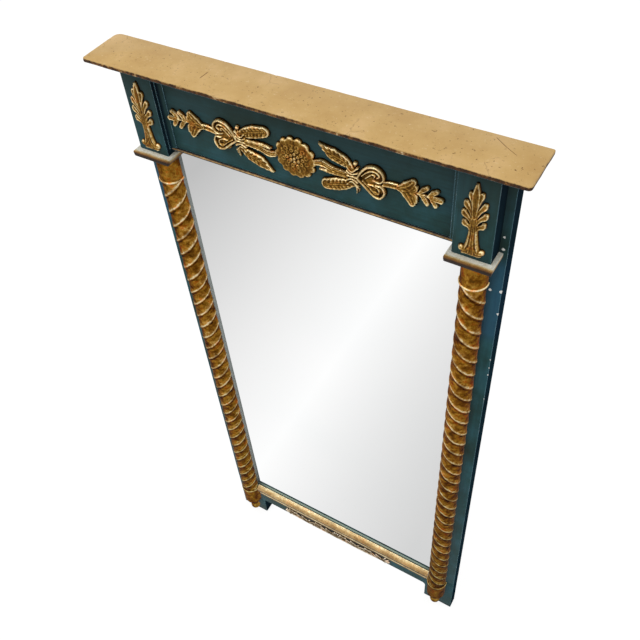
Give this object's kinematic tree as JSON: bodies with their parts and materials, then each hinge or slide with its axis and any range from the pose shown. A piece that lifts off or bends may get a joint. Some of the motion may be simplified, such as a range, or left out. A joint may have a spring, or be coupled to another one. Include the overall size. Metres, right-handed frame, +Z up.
{
  "type": "trumeau mirror",
  "caption": "Tall wall mirror in a teal painted frame, with spiral-carved gilt half columns, a relief frieze between two blocks, a flat gilt cornice and bracket feet.",
  "frame": {"origin": "on the back of the top rail, at the middle of its height, in the plane that lies on the wall", "axes": "+X to the right as one faces the mirror, +Y into the wall, so the glass faces -Y, and +Z up"},
  "size_m": [0.503, 0.059, 1.016],
  "materials": {
    "teal_paint": "old teal milk paint on wood, satin, chipped to the white ground in a few places",
    "gilding_worn": "gold leaf on gesso, worn and toned brown in the hollows",
    "gilding_pale": "pale bronze-gold paint on wood, rubbed and specked",
    "ornament_gilding": "gilded moulded ornament, rubbed silvery on the high points, brown in the hollows",
    "capital_gesso": "gilding rubbed through to cream gesso",
    "silvered_glass": "silvered plate glass",
    "bare_wood": "bare softwood, darkened with age",
    "zinc_steel": "zinc-plated steel"
  },
  "bodies": {
    "mirror": {"cornice_board": "gilding_pale", "cornice_bed_board": "teal_paint", "top_rail": "teal_paint", "base_board": "teal_paint", "frieze_board": "teal_paint", "frieze_bead": "gilding_worn", "base_bead": "gilding_pale", "base_fillet": "gilding_pale", "apron_scroll": "ornament_gilding", "rosette": "ornament_gilding", "mirror_glass": "silvered_glass", "back_plank_1": "bare_wood", "back_plank_2": "bare_wood", "back_plank_3": "bare_wood", "stile_left": "teal_paint", "stile_right": "teal_paint", "block_left": "teal_paint", "block_right": "teal_paint", "frieze_cove_left": "teal_paint", "frieze_cove_right": "teal_paint", "capital_left": "capital_gesso", "capital_right": "capital_gesso", "column_neck_left": "gilding_worn", "column_neck_right": "gilding_worn", "column_shaft_left": "gilding_worn", "column_shaft_right": "gilding_worn", "column_base_left": "gilding_worn", "column_base_right": "gilding_worn", "drop_knob_left": "gilding_worn", "drop_knob_right": "gilding_worn", "palmette_left": "ornament_gilding", "palmette_right": "ornament_gilding", "wing_leaves_left": "ornament_gilding", "wing_leaves_right": "ornament_gilding", "heart_scroll_left": "ornament_gilding", "heart_scroll_right": "ornament_gilding", "bud_spray_left": "ornament_gilding", "bud_spray_right": "ornament_gilding", "hanger_strap_left": "zinc_steel", "hanger_strap_right": "zinc_steel"},
    "ring_left": {"hanger_ring_left": "zinc_steel"},
    "ring_right": {"hanger_ring_right": "zinc_steel"}
  },
  "joints": [
    {"name": "ring_left_swing", "type": "hinge", "parent": "mirror", "child": "ring_left", "pos_m": [-0.21075, -0.004, -0.07], "axis": [1, 0, 0], "range_deg": [0, 180]},
    {"name": "ring_right_swing", "type": "hinge", "parent": "mirror", "child": "ring_right", "pos_m": [0.21075, -0.004, -0.07], "axis": [1, 0, 0], "range_deg": [0, 180]}
  ]
}
